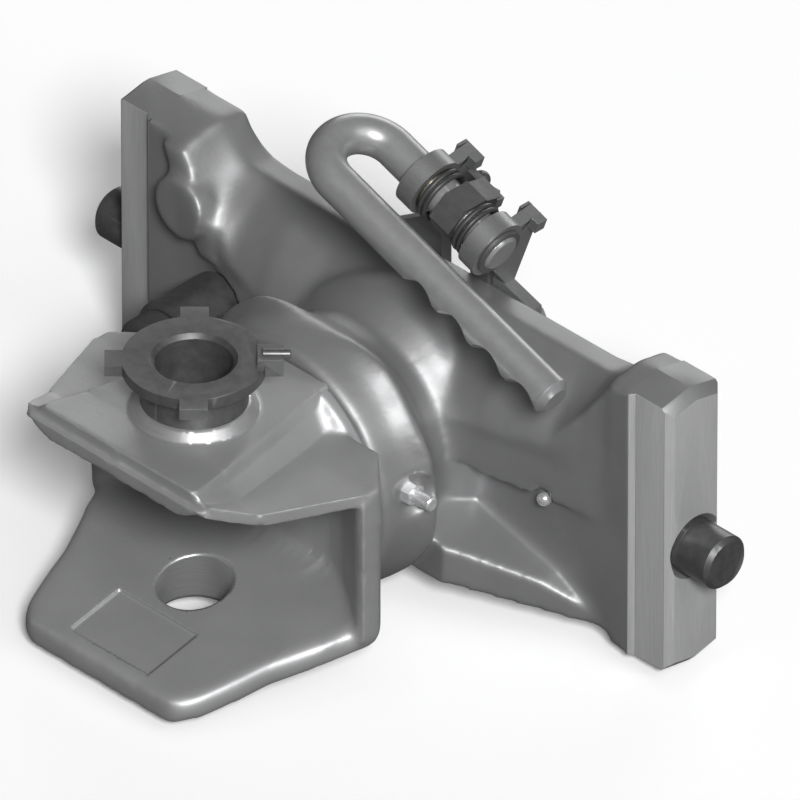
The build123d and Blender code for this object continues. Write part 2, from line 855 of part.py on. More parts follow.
def handle():
    """Hairpin bar: the shaft leg runs through the ears, the grip leg has finger scallops."""
    plane = shaft_plane(bend_t)
    shaft_length = shaft_end_t - bend_t
    shaft_leg = extrude(plane * Circle(bar_radius), shaft_length)
    shaft_leg = chamfer(shaft_leg.faces().sort_by(Axis.X)[-1].edges(), 1.2)
    grip = extrude(plane * Pos(-2 * hairpin_radius, 0, 0) * Circle(bar_radius), grip_length)
    grip = chamfer(grip.faces().sort_by(Axis.X)[-1].edges(), 3.0)
    axis = Axis(plane.from_local_coords(Vector(-hairpin_radius, 0, 0)), plane.y_dir)
    elbow = revolve(plane * Circle(bar_radius), axis, 180)
    body = shaft_leg + elbow + grip
    last = bend_t + grip_length - 2.0
    for index in range(grip_scallops):
        t = last - scallop_pitch * (index + 0.5)
        cut_plane = shaft_plane(t)
        centre = Vector(-2 * hairpin_radius, 0, 0)
        offset = bar_radius + scallop_radius - scallop_depth
        direction = Vector(-sqrt(0.5), -sqrt(0.5), 0)
        across = Vector(-sqrt(0.5), sqrt(0.5), 0) * 15
        low = cut_plane.from_local_coords(centre + direction * offset - across)
        high = cut_plane.from_local_coords(centre + direction * offset + across)
        body -= rod(scallop_radius, tuple(low), tuple(high))
    return body


def ear_start(index):
    return -ear_ring_length - (ear_spacing if index == 0 else 0)


def ear(index):
    """Ring, slanting plate, rear tab and bolted foot of one bracket ear."""
    t = ear_start(index)
    plane = shaft_plane(t)
    body = extrude(plane * Circle(ear_ring_radius), ear_ring_length)
    plate_plane = shaft_plane(t + (ear_ring_length - ear_thickness) / 2)
    foot_front = ear_rear - ear_foot_depth
    points = [(-2, 0), (0, 10), (ear_rear, ear_tab_high), (ear_rear, -ear_drop),
              (foot_front, -ear_drop), (foot_front, -ear_drop + 6), (2.9, -15.6)]
    body += extrude(plate_plane * outline(points), ear_thickness)
    tab_front = ear_rear - ear_tab_depth
    tab = [(tab_front, ear_tab_low), (ear_rear, ear_tab_low), (ear_rear, ear_tab_high), (tab_front, ear_tab_high)]
    body += extrude(shaft_plane(t) * outline(tab), ear_tab_length)
    screw_x, screw_z = ear_screw_places()[index]
    foot_low = carriage_back_y
    foot_high = shaft_y + ear_rear
    base = plate_plane.from_local_coords(Vector(ear_rear, -ear_drop, 0))
    low_x = min(screw_x - 10, base.X)
    high_x = max(screw_x + 10, base.X + ear_thickness + 1.2)
    foot = [
        (low_x, screw_z - 12),
        (high_x, screw_z - 12),
        (high_x, base.Z - 2),
        (base.X + ear_thickness, base.Z + 4),
        (base.X + 0.5, base.Z + 4),
        (low_x, screw_z + 10),
    ]
    body += prism_y(foot, foot_low + 0.05, foot_high)
    body -= rod(ear_screw_radius + screw_gap, (screw_x, foot_low - 1, screw_z), (screw_x, foot_high + 1, screw_z))
    bore = bar_radius + running_gap + ear_bush_wall
    body -= extrude(shaft_plane(t - 1) * Circle(bore), ear_ring_length + 2)
    return body


def ear_bushes():
    bushes = []
    for index in (0, 1):
        plane = shaft_plane(ear_start(index))
        outer = bar_radius + running_gap + ear_bush_wall - bush_seat_gap
        ring = extrude(plane * Circle(outer), ear_ring_length)
        bushes.append(ring - extrude(plane * Circle(bar_radius + running_gap), ear_ring_length))
    return bushes


def ear_screws():
    screws = []
    head_y = shaft_y + ear_rear
    for x, z in ear_screw_places():
        body = rod(ear_screw_radius - 0.1, (x, carriage_back_y - 13, z), (x, head_y, z))
        body += rod(9.0, (x, head_y, z), (x, head_y + 1.8, z))
        head = Plane(origin=(x, head_y + 7.3, z), x_dir=(1, 0, 0), z_dir=(0, -1, 0))
        body += hexagon(13.0, 5.5, head)
        screws.append(body)
    return screws


def drive_block():
    """Hexagonal block on the shaft with the crank arm that presses the lift plate down."""
    middle = -(ear_spacing + ear_ring_length) / 2 + 0.5
    start = middle - hex_length / 2
    body = hexagon(hex_flats, hex_length, shaft_plane(start))
    angle = radians(crank_angle)
    t = (tongue_x - shaft_ref_x) / shaft_dir.X
    reach = crank_radius - ball_radius / 2
    neck = [(0, -3.0), (reach, crank_low_edge), (reach, 6.0), (6, 10.0), (0, 10.0)]
    body += extrude(shaft_plane(start) * outline(neck), hex_length)
    clear = torsion_radius + torsion_wire + 1.0
    head = [(clear, crank_low_edge), (reach, crank_low_edge), (reach, 6.0), (clear, 7.0)]
    body += extrude(shaft_plane(t - ball_radius) * outline(head), crank_length)
    body += Pos(*ball_rest()) * Sphere(ball_radius)
    body -= extrude(shaft_plane(start - 20) * Circle(bar_radius + 0.02), hex_length + 40)
    return body


def torsion_springs():
    springs = []
    length = torsion_turns * (2 * torsion_wire + 0.3)
    end_gap = torsion_wire + 0.45
    for t in (-ear_spacing + end_gap, -ear_ring_length - end_gap - length):
        springs.append(coil(torsion_radius, torsion_wire, torsion_turns, length, shaft_plane(t)))
    return springs


def retaining_ring():
    plane = shaft_plane(0.3)
    return extrude(plane * Circle(bar_radius + 2.4), 1.5) - extrude(plane * Circle(bar_radius + 0.02), 1.5)


# Small pieces on the front

def hub_grease_nipple():
    """Hexagon base and blunt tube that stand on the hub's side."""
    plane = Plane(origin=(hub_nipple_seat_x + 0.02, hub_nipple_y, hub_nipple_z), z_dir=(1, 0, 0))
    tube_body = chamfer(extrude(plane * Circle(nipple_tube), nipple_length).edges().sort_by(Axis.X)[-1], 0.8)
    return hexagon(nipple_hex, 5.0, plane) + tube_body


def bolt_grease_nipple():
    """Ball-headed nipple that stands on the web over the right bolt."""
    neck = rod(ball_nipple_radius - 1, (ball_nipple_x, ball_nipple_y, ball_nipple_z),
               (ball_nipple_x, web_front_y - 0.02, ball_nipple_z))
    return neck + Pos(ball_nipple_x, ball_nipple_y, ball_nipple_z) * Sphere(ball_nipple_radius)


def plunger_housing():
    body = rod(plunger_radius, (plunger_x, plunger_front_y, 0), (plunger_x, web_front_y - 0.02, 0))
    body = chamfer(body.edges().filter_by(GeomType.CIRCLE).sort_by(Axis.Y)[0], 2.0)
    bore = plunger_stem + face_gap
    return body - rod(bore, (plunger_x, plunger_front_y - 1, 0), (plunger_x, web_front_y, 0))


def plunger_knob():
    body = rod(knob_radius, (plunger_x, knob_front_y, 0), (plunger_x, plunger_front_y - face_gap, 0))
    body = chamfer(body.edges().filter_by(GeomType.CIRCLE).sort_by(Axis.Y)[0], 3.0)
    stem_end = bolt_axis_y - bolt_radius - 0.4
    return body + rod(plunger_stem, (plunger_x, knob_front_y + 4, 0), (plunger_x, stem_end, 0))


def save(name, shape):
    solids = []
    for piece in shape if isinstance(shape, (list, tuple)) else [shape]:
        solids.extend(piece.solids())
    export_step(Compound(label=name, children=solids) if len(solids) > 1 else solids[0], f"parts/{name}.step")


os.makedirs("parts", exist_ok=True)
nodes = {
    "carriage": carriage,
    "hub_front_bush": lambda: hub_bush(thrust_seat_y),
    "hub_rear_bush": lambda: hub_bush(brake_seat_y - bush_length + face_gap / 2),
    "thrust_ring": thrust_ring,
    "brake_disc_springs": disc_springs,
    "shank_washer": shank_washer,
    "shank_nut": shank_nut,
    "split_pin": split_pin,
    "rear_cover": rear_cover,
    "cover_screws": cover_screws,
    "jaw": jaw,
    "pin_guide_bush": pin_guide_bush,
    "bush_lock_pin": bush_lock_pin,
    "lift_plate": lift_plate,
    "lift_plate_guide_screws": guide_screws,
    "handle": handle,
    "ear_bushes": ear_bushes,
    "bracket_screws": ear_screws,
    "drive_block": drive_block,
    "handle_return_spring": torsion_springs,
    "shaft_retaining_ring": retaining_ring,
    "hub_grease_nipple": hub_grease_nipple,
    "bolt_grease_nipple": bolt_grease_nipple,
    "plunger_housing": plunger_housing,
    "plunger_knob": plunger_knob,
}
for index, name in enumerate(("left", "right")):
    nodes[f"{name}_bracket_ear"] = lambda index=index: ear(index)
for side in (left, right):
    nodes[f"{side_name[side]}_locking_bolt"] = lambda side=side: locking_bolt(side)
    nodes[f"{side_name[side]}_drive_pin"] = lambda side=side: drive_pin(side)
    nodes[f"{side_name[side]}_bolt_spring"] = lambda side=side: bolt_spring(side)
for name, make in nodes.items():
    save(name, make())
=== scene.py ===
import json
import math

import bmesh
import bpy
import numpy as np
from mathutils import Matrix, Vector


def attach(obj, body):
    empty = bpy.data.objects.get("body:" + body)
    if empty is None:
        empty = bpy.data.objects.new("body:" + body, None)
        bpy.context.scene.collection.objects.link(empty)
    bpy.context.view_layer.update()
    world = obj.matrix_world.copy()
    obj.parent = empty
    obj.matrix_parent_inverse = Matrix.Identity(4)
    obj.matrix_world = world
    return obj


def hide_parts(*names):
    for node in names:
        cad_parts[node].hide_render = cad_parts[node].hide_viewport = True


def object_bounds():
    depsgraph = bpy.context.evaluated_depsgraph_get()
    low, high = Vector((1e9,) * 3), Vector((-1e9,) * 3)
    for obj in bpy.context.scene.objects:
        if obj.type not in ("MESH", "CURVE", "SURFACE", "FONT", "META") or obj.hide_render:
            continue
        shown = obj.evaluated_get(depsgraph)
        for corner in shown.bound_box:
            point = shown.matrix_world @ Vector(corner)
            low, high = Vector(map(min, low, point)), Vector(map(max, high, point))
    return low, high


MM = 0.001

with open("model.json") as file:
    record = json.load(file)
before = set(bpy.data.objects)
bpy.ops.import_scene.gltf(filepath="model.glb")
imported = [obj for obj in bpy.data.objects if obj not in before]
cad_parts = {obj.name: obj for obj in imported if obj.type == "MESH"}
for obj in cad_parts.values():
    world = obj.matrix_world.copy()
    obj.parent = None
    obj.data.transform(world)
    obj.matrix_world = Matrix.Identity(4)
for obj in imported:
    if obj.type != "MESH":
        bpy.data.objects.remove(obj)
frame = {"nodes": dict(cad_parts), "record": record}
cad_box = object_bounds()
nodes = frame["nodes"]
bodies = frame["record"]["behaviour"]["bodies"]
slots = {entry["node"]: entry["material_slot"] for entry in frame["record"]["subparts"]}
body_of = {name: body for body, names in bodies.items() for name in names}


# Camera: a long lens at the photograph's isometric angle
VIEW_TARGET = Vector((0.0374, 0.0846, 0.0352))
VIEW_DISTANCE = 14.0
VIEW_WIDTH = 0.3363
TO_CAMERA = Vector((1, -1, 1)).normalized()

camera_data = bpy.data.cameras.new("camera")
camera_data.lens = camera_data.sensor_width * VIEW_DISTANCE / VIEW_WIDTH
camera_data.clip_start = 1.0
camera_data.clip_end = 60.0
camera = bpy.data.objects.new("camera", camera_data)
camera.location = VIEW_TARGET + TO_CAMERA * VIEW_DISTANCE
camera.rotation_euler = TO_CAMERA.to_track_quat("Z", "Y").to_euler()
bpy.context.scene.collection.objects.link(camera)
bpy.context.scene.camera = camera
bpy.context.scene.view_settings.view_transform = "Standard"


# Materials

class Shader:
    """A node material under construction, with short calls for the nodes it needs."""

    def __init__(self, name):
        self.material = bpy.data.materials.new(name)
        self.material.use_nodes = True
        self.tree = self.material.node_tree
        self.principled = self.tree.nodes["Principled BSDF"]
        coordinates = self.tree.nodes.new("ShaderNodeTexCoord")
        self.place = coordinates.outputs["Object"]

    def add(self, kind, links=(), **settings):
        node = self.tree.nodes.new(kind)
        for name, value in settings.items():
            if hasattr(node, name):
                setattr(node, name, value)
            else:
                node.inputs[name.replace("_", " ")].default_value = value
        for socket, source in dict(links).items():
            self.tree.links.new(source, node.inputs[socket])
        return node

    def noise(self, scale, detail=3.0, roughness=0.5, stretch=None):
        place = self.place
        if stretch:
            mapping = self.add("ShaderNodeMapping", {"Vector": place})
            mapping.inputs["Scale"].default_value = stretch
            place = mapping.outputs[0]
        node = self.add("ShaderNodeTexNoise", {"Vector": place}, Scale=scale, Detail=detail, Roughness=roughness)
        return node.outputs["Fac"]

    def ramp(self, source, stops):
        node = self.add("ShaderNodeValToRGB", {"Fac": source})
        elements = node.color_ramp.elements
        while len(elements) < len(stops):
            elements.new(0.5)
        for element, (position, colour) in zip(elements, stops):
            element.position = position
            element.color = (*colour, 1.0)
        return node.outputs["Color"]

    def mix(self, share, first, second):
        node = self.tree.nodes.new("ShaderNodeMix")
        node.data_type = "RGBA"
        for socket, value in ((0, share), (6, first), (7, second)):
            if isinstance(value, bpy.types.NodeSocket):
                self.tree.links.new(value, node.inputs[socket])
            else:
                node.inputs[socket].default_value = value if socket == 0 else (*value, 1.0)
        return node.outputs[2]

    def span(self, source, low, high):
        node = self.add("ShaderNodeMapRange", {"Value": source})
        node.inputs["To Min"].default_value = low
        node.inputs["To Max"].default_value = high
        return node.outputs["Result"]

    def edges(self, low, high):
        """Share of wear, from 0 on flats to 1 on raised edges."""
        geometry = self.add("ShaderNodeNewGeometry")
        node = self.add("ShaderNodeMapRange", {"Value": geometry.outputs["Pointiness"]})
        node.inputs["From Min"].default_value = low
        node.inputs["From Max"].default_value = high
        return node.outputs["Result"]

    def bump(self, source, distance, strength=1.0, under=None):
        links = {"Height": source}
        if under:
            links["Normal"] = under
        return self.add("ShaderNodeBump", links, Distance=distance, Strength=strength).outputs["Normal"]

    def finish(self, colour=None, roughness=None, normal=None, **constants):
        inputs = self.principled.inputs
        for name, source in (("Base Color", colour), ("Roughness", roughness), ("Normal", normal)):
            if source is not None:
                self.tree.links.new(source, inputs[name])
        for name, value in constants.items():
            inputs[name.replace("_", " ")].default_value = value
        return self.material


RUBBED_SHARE = 0.25


def grey(level):
    """Grey of a level with a slight blue cast."""
    return (level, level * 1.005, level * 1.015)


def cast_paint(name, level):
    """Satin paint over a sand casting: fine orange peel, a soft cast grain and slightly rubbed edges."""
    shader = Shader(name)
    clouds = shader.noise(28.0, 4.0, 0.55)
    paint = shader.ramp(clouds, [(0.3, grey(level * 0.93)), (0.7, grey(level * 1.07))])
    speckle = shader.noise(900.0, 2.0)
    paint = shader.mix(shader.span(speckle, 0.0, 0.12), paint, grey(level * 1.5))
    rubbed = shader.add("ShaderNodeMath", {0: shader.edges(0.52, 0.62), 1: shader.noise(160.0, 4.0, 0.6)},
                        operation="MULTIPLY").outputs[0]
    worn = shader.add("ShaderNodeMath", {0: rubbed}, operation="MULTIPLY")
    worn.inputs[1].default_value = RUBBED_SHARE
    paint = shader.mix(worn.outputs[0], paint, grey(level * 2.2))
    grain = shader.bump(shader.noise(420.0, 5.0, 0.6), 0.00016, 0.55)
    grain = shader.bump(shader.noise(60.0, 2.0, 0.5), 0.0006, 0.25, grain)
    gloss = shader.span(shader.noise(70.0, 3.0), 0.46, 0.54)
    return shader.finish(paint, gloss, grain, Metallic=0.6, IOR=1.5)


def machined(name, level, direction, metallic=0.75, roughness=(0.26, 0.4)):
    """Milled or turned steel with fine tool lines, drawn together across them by the direction's scales."""
    shader = Shader(name)
    lines = shader.noise(60.0, 6.0, 0.65, stretch=direction)
    tone = shader.ramp(lines, [(0.25, grey(level * 0.86)), (0.75, grey(level * 1.12))])
    stains = shader.noise(22.0, 3.0)
    tone = shader.mix(shader.span(stains, 0.0, 0.22), tone, grey(level * 0.7))
    normal = shader.bump(lines, 0.00006, 0.5)
    gloss = shader.span(shader.noise(45.0, 3.0), *roughness)
    return shader.finish(tone, gloss, normal, Metallic=metallic)


def dark_steel(name, level, metallic=0.6, roughness=(0.32, 0.48), mottling=0.2):
    """Blackened or phosphated steel, mottled, with brighter rubbed edges."""
    shader = Shader(name)
    mottle = shader.noise(190.0, 5.0, 0.6)
    tone = shader.ramp(mottle, [(0.3, grey(level * (1 - mottling))), (0.72, grey(level * (1 + mottling)))])
    tone = shader.mix(shader.edges(0.53, 0.66), tone, grey(level * 2.6))
    normal = shader.bump(shader.noise(650.0, 3.0), 0.00005, 0.5)
    gloss = shader.span(shader.noise(120.0, 3.0), *roughness)
    return shader.finish(tone, gloss, normal, Metallic=metallic)


def plastic(name, level):
    """Moulded plastic with a fine, dull grain."""
    shader = Shader(name)
    tone = shader.ramp(shader.noise(300.0, 3.0), [(0.3, grey(level * 0.9)), (0.7, grey(level * 1.1))])
    normal = shader.bump(shader.noise(1500.0, 2.0), 0.00004, 0.6)
    gloss = shader.span(shader.noise(200.0, 2.0), 0.42, 0.55)
    return shader.finish(tone, gloss, normal)


def bronze(name):
    """Turned bearing bronze, dull."""
    shader = Shader(name)
    lines = shader.noise(80.0, 5.0, 0.6, stretch=(1, 20, 1))
    tone = shader.ramp(lines, [(0.3, (0.2, 0.165, 0.115)), (0.7, (0.28, 0.235, 0.17))])
    normal = shader.bump(lines, 0.00005, 0.5)
    return shader.finish(tone, shader.span(lines, 0.28, 0.42), normal, Metallic=0.9)


carriage_paint = cast_paint("carriage_paint", 0.28)
jaw_paint = cast_paint("jaw_paint", 0.4)
rail_steel = machined("rail_steel", 0.46, direction=(30, 30, 1), metallic=0.3, roughness=(0.36, 0.46))
turned_steel = machined("turned_steel", 0.6, direction=(1, 1, 30))
finish_of_slot = {
    "carriage_casting": carriage_paint,
    "jaw_casting": jaw_paint,
    "guide_bush_steel": dark_steel("guide_bush_steel", 0.125),
    "lock_steel": dark_steel("lock_steel", 0.11),
    "plate_steel": machined("plate_steel", 0.36, direction=(1, 30, 30), roughness=(0.34, 0.48)),
    "handle_steel": dark_steel("handle_steel", 0.38, metallic=0.55, roughness=(0.3, 0.38), mottling=0.07),
    "spring_steel": dark_steel("spring_steel", 0.07),
    "bearing_bronze": bronze("bearing_bronze"),
    "zinc_fasteners": machined("zinc_fasteners", 0.55, direction=(8, 8, 8)),
    "nipple_steel": machined("nipple_steel", 0.85, direction=(8, 8, 8), roughness=(0.18, 0.3)),
    "knob_black": plastic("knob_black", 0.06),
}


# Skins of the cast and machined pieces. Their sizes are in millimetres, as in the part's source.
SPACING = 2.0
SQUARES = 1.5
CARRIAGE_PASSES = 13
JAW_PASSES = 36
FIRST_SPACING = 64.0
FINE_WELD = 0.01
RELAX_STEP = 0.5
CRISP = 0.3
SEAM_X = 142.0
SEAM_FADE = 6.0
HUB_BORE = 45.0
SHANK_Y = 50.5
LOWER_TOP = -35.0
LOWER_SLOPE = 0.2


def settle(piece, name, materials):
    """Puts a finished piece in place of its CAD node, on the node's body."""
    piece.data.materials.clear()
    for material in materials:
        piece.data.materials.append(material)
    bpy.context.scene.collection.objects.link(piece)
    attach(piece, body_of[name])
    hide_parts(name)
    return piece


def fine_mesh(name, spacing):
    """Copy of a node's mesh, divided until no edge is longer than the spacing in millimetres."""
    work = bmesh.new()
    work.from_mesh(nodes[name].data)
    bmesh.ops.remove_doubles(work, verts=work.verts, dist=FINE_WELD * MM)
    bmesh.ops.triangulate(work, faces=work.faces)
    limit = FIRST_SPACING
    while limit >= spacing:
        for _ in range(2):
            long_edges = [edge for edge in work.edges if edge.calc_length() > limit * MM]
            bmesh.ops.subdivide_edges(work, edges=long_edges, cuts=1)
            bmesh.ops.triangulate(work, faces=[face for face in work.faces if len(face.verts) > 3])
        limit /= 2
    mesh = bpy.data.meshes.new(name + "_skin")
    work.to_mesh(mesh)
    work.free()
    return mesh


def places(mesh):
    """The mesh's points as rows of x, y and z."""
    values = np.empty(len(mesh.vertices) * 3)
    mesh.vertices.foreach_get("co", values)
    return values.reshape(-1, 3)


def relax(mesh, passes, weight):
    """Rounds the mesh's edges and corners, by up to as many passes as each point's weight allows."""
    points = places(mesh)
    share = weight(points / MM)[:, None] * RELAX_STEP
    pairs = np.empty(len(mesh.edges) * 2, dtype=np.int64)
    mesh.edges.foreach_get("vertices", pairs)
    first, second = pairs.reshape(-1, 2).T
    count = len(points)
    degree = np.bincount(first, minlength=count) + np.bincount(second, minlength=count)
    for _ in range(passes):
        middle = np.empty_like(points)
        for axis in range(3):
            total = np.bincount(first, weights=points[second, axis], minlength=count)
            total += np.bincount(second, weights=points[first, axis], minlength=count)
            middle[:, axis] = total / np.maximum(degree, 1)
        points += (middle - points) * share
    mesh.vertices.foreach_set("co", points.ravel())
    mesh.update()


def smooth_shading(mesh, angle=35):
    """Shades the mesh smoothly, apart from edges sharper than an angle in degrees."""
    mesh.polygons.foreach_set("use_smooth", [True] * len(mesh.polygons))
    mesh.set_sharp_from_angle(angle=math.radians(angle))


def ramp(values, low, high):
    """Rises from 0 at the low value to 1 at the high one."""
    return np.clip((values - low) / (high - low), 0.0, 1.0)


def lessened(weight, zones):
    """The weight, brought down by each zone's share of rounding."""
    for inside, share in zones:
        weight *= np.where(inside, share, 1.0)
    return weight


def carriage_weight(points):
    """Full rounding on the arms and web, less on crisp features and the back's rim, none in the hub's bores."""
    x, y, z = points.T
    reach = np.abs(x)
    radius = np.hypot(x, z)
    weight = 1.0 - ramp(reach, SEAM_X - SEAM_FADE, SEAM_X)
    weight *= 1.0 - (1.0 - CRISP) * ramp(y, 143.0, 147.5)
    hub_front = (y < 57.0) & (radius < 66.0)
    shoulder_crease = (np.abs(z - 26.0) < 6.0) & (y < 116.0) & (reach > 50.0) & (reach < 112.0)
    overhang = (np.abs(z - 2.7) < 4.0) & (y < 113.0) & (reach > 62.0)
    flange = (z < -13.0) & (y < 112.0) & (reach > 50.0)
    post_boss = (np.hypot(x + 115.0, z - 47.6) < 18.0) & (y < 112.0)
    plunger_seat = np.hypot(x + 98.0, z) < 23.0
    return lessened(weight, (
        (hub_front, CRISP),
        (radius < HUB_BORE, 0.0),
        (shoulder_crease, 0.4),
        (overhang, CRISP),
        (flange, 0.35),
        (post_boss, CRISP),
        (plunger_seat, CRISP),
    ))


# Radius of the hub along Y: in the solid, and in the casting beside and over the middle
HUB_Y = (52.0, 66.0, 71.0, 76.0, 80.0, 90.0, 100.0, 112.0)
HUB_PLAIN = (61.0, 62.5, 63.4, 62.7, 60.2, 57.0, 58.0, 58.5)
HUB_FULL = (61.0, 62.5, 65.0, 68.5, 64.5, 53.0, 49.5, 54.0)
HUB_CROWN = (61.0, 62.5, 62.8, 61.0, 58.0, 51.0, 49.5, 54.0)
STILL_WITHIN = 47.0
STILL_BEYOND = 80.0


def flare(points):
    """Swells the hub's rear towards the arms, between the two radii that stay still."""
    x, y, z = points.T
    radius = np.hypot(x, z)
    plain = np.interp(y, HUB_Y, HUB_PLAIN)
    crown = np.interp(y, HUB_Y, HUB_CROWN)
    crown += (np.interp(y, HUB_Y, HUB_FULL) - crown) * ramp(np.abs(x), 8.0, 34.0)
    rim = plain + (crown - plain) * ramp(z, -48.0, -18.0) * (1.0 - ramp(y, 100.0, 112.0))
    inside = STILL_WITHIN + (radius - STILL_WITHIN) * (rim - STILL_WITHIN) / (plain - STILL_WITHIN)
    outside = rim + (radius - plain) * (STILL_BEYOND - rim) / (STILL_BEYOND - plain)
    moved = np.where(radius <= plain, inside, outside)
    moved = np.where((radius < STILL_WITHIN) | (radius > STILL_BEYOND), radius, moved)
    scale = np.where(radius > 1.0, moved / np.maximum(radius, 1.0), 1.0)
    return points * np.stack([scale, np.ones_like(scale), scale], axis=1)


SHOULDER_BULGE = 5.0
SHOULDER_FORWARD = 0.78
SHOULDER_UPWARD = 0.62


def shoulders(points, before):
    """Gives the arms' fronts their full, rounded shoulders, placed by the points before the flare."""
    x, y, z = before.T
    reach = np.abs(x)
    along = ramp(reach, 42.0, 66.0) * (1.0 - ramp(reach, 92.0, 116.0)) * ramp(131.0 - y, 0.0, 6.0)
    climb = ramp(z, 22.0, 62.0)
    bulge = SHOULDER_BULGE * np.sin(math.pi * climb) * along
    points[:, 1] -= SHOULDER_FORWARD * bulge
    points[:, 2] += SHOULDER_UPWARD * bulge
    return points


def jaw_weight(points):
    """Full rounding on the lower plate, less on the upper one, none on the boss, bores, recess and shank."""
    x, y, z = points.T
    bore = np.hypot(x, y)
    radius = np.hypot(x, z)
    weight = 1.0 - 0.8 * ramp(y, 42.0, 46.0) * (radius > 55.0)
    cone = (bore < 30.5) & (z > 50.0)
    pin_bore = bore < 20.0
    upper_plate = z > 20.0
    lower_boss = (bore < 31.0) & (z < -46.0)
    shank_root = (y > 46.0) & (radius < 55.0)
    top_side = z > LOWER_TOP + LOWER_SLOPE * y - 6.0
    recess = (np.abs(x) < 25.5) & (y < -20.0) & (y > -54.0) & (z < -30.0) & top_side
    return lessened(weight, (
        (cone, 0.0),
        (pin_bore, 0.0),
        (upper_plate, CRISP),
        (lower_boss, 0.1),
        (shank_root, 0.0),
        (y > SHANK_Y, 0.0),
        (recess, 0.0),
    ))


# Y of the wall in the jaw's mouth by distance from the middle: in the solid, and in the casting
MOUTH_X = (0.0, 20.0, 40.0, 52.0, 60.0, 71.0, 77.5, 79.0)
MOUTH_PLAIN = (31.0, 30.0, 27.1, 24.4, 22.2, 18.6, 18.6, 18.6)
MOUTH_FULL = (41.5, 41.0, 39.8, 35.5, 30.3, 23.0, 18.6, 18.6)


def hollow(points):
    """Deepens the wall in the jaw's mouth towards the hub, with the plates' inner faces drawn after it."""
    x, y, z = points.T
    reach = np.abs(x)
    over_plate = z - LOWER_SLOPE * y
    plain = np.interp(reach, MOUTH_X, MOUTH_PLAIN)
    depth = np.interp(reach, MOUTH_X, MOUTH_FULL) - plain
    depth *= ramp(y, plain - 12.0, plain - 0.5) * (1.0 - ramp(y, plain + 0.8, plain + 2.0))
    depth *= ramp(over_plate, -42.5, -37.0) * (1.0 - ramp(z, 33.0, 38.0))
    result = points.copy()
    result[:, 1] += depth
    result[:, 2] += LOWER_SLOPE * depth * (1.0 - ramp(over_plate, -34.0, -20.0))
    return result


def cast_skin(name, mesh, materials, pick, angle=35):
    """Puts a finished skin on a node, with a material picked for each face."""
    smooth_shading(mesh, angle)
    piece = bpy.data.objects.new(mesh.name, mesh)
    settle(piece, name, materials)
    mesh.polygons.foreach_set("material_index", pick(mesh))
    return piece


def even_mesh(name, size):
    """Copy of a node's mesh in even squares of a size in millimetres."""
    holder = bpy.data.objects.new(name + "_even", nodes[name].data.copy())
    bpy.context.scene.collection.objects.link(holder)
    squares = holder.modifiers.new("squares", "REMESH")
    squares.mode = "VOXEL"
    squares.voxel_size = size * MM
    graph = bpy.context.evaluated_depsgraph_get()
    mesh = bpy.data.meshes.new_from_object(holder.evaluated_get(graph))
    mesh.name = name + "_cast"
    bpy.data.objects.remove(holder)
    return mesh


FLAT_ANGLE = math.radians(0.5)
SHARP_ANGLE = math.radians(32)
EASE_WELD = 0.002
TONGUE_EASE = 0.7


def ease_edges(work, width):
    """Rounds a mesh's sharp edges by a width in millimetres, after its flat faces have been joined."""
    bmesh.ops.dissolve_limit(work, angle_limit=FLAT_ANGLE, verts=work.verts, edges=work.edges)
    sharp = [edge for edge in work.edges if len(edge.link_faces) == 2 and edge.calc_face_angle() > SHARP_ANGLE]
    bmesh.ops.bevel(work, geom=sharp, offset=width * MM, offset_type="OFFSET", segments=2, profile=0.5,
                    affect="EDGES", clamp_overlap=True)


def seam_cut(work, side, keep_inner):
    """Cuts a mesh off at the seam plane of one side and keeps what is inside or outside of it."""
    geometry = work.verts[:] + work.edges[:] + work.faces[:]
    bmesh.ops.bisect_plane(work, geom=geometry, plane_co=(side * SEAM_X * MM, 0, 0), plane_no=(side, 0, 0),
                           clear_outer=keep_inner, clear_inner=not keep_inner)


def between_seams(mesh):
    """The mesh's middle, between the two tongues."""
    work = bmesh.new()
    work.from_mesh(mesh)
    for side in (1, -1):
        seam_cut(work, side, True)
    result = bpy.data.meshes.new(mesh.name + "_trimmed")
    work.to_mesh(result)
    work.free()
    return result


def beyond_seams(mesh):
    """The mesh's two tongues, with their edges eased."""
    work = bmesh.new()
    for side in (1, -1):
        tongue = bmesh.new()
        tongue.from_mesh(mesh)
        seam_cut(tongue, side, False)
        holder = bpy.data.meshes.new("tongue")
        tongue.to_mesh(holder)
        tongue.free()
        work.from_mesh(holder)
        bpy.data.meshes.remove(holder)
    bmesh.ops.remove_doubles(work, verts=work.verts, dist=EASE_WELD * MM)
    ease_edges(work, TONGUE_EASE)
    result = bpy.data.meshes.new(mesh.name + "_trimmed")
    work.to_mesh(result)
    work.free()
    return result


def face_places(mesh):
    """Normals and middles of the mesh's faces, each as three rows."""
    count = len(mesh.polygons)
    normals = np.empty(count * 3)
    centres = np.empty(count * 3)
    mesh.polygons.foreach_get("normal", normals)
    mesh.polygons.foreach_get("center", centres)
    return normals.reshape(-1, 3).T, (centres.reshape(-1, 3) / MM).T


def machined_faces(mesh):
    """Index 1 on the tongues' fronts, sides and inner steps and on the milled back face, else 0."""
    (across, along, upward), (x, y, z) = face_places(mesh)
    reach = np.abs(x)
    side = (np.abs(across) > 0.6) & (reach > 161.0) & (np.abs(upward) < 0.3)
    front = (along < -0.9) & (reach > 145.0) & (y > 115.5)
    step = (np.abs(across) > 0.6) & (along < -0.6) & (reach > 142.0) & (reach < 146.5)
    back = (along > 0.95) & (y > 147.9)
    return (side | front | step | back).astype(np.int32)


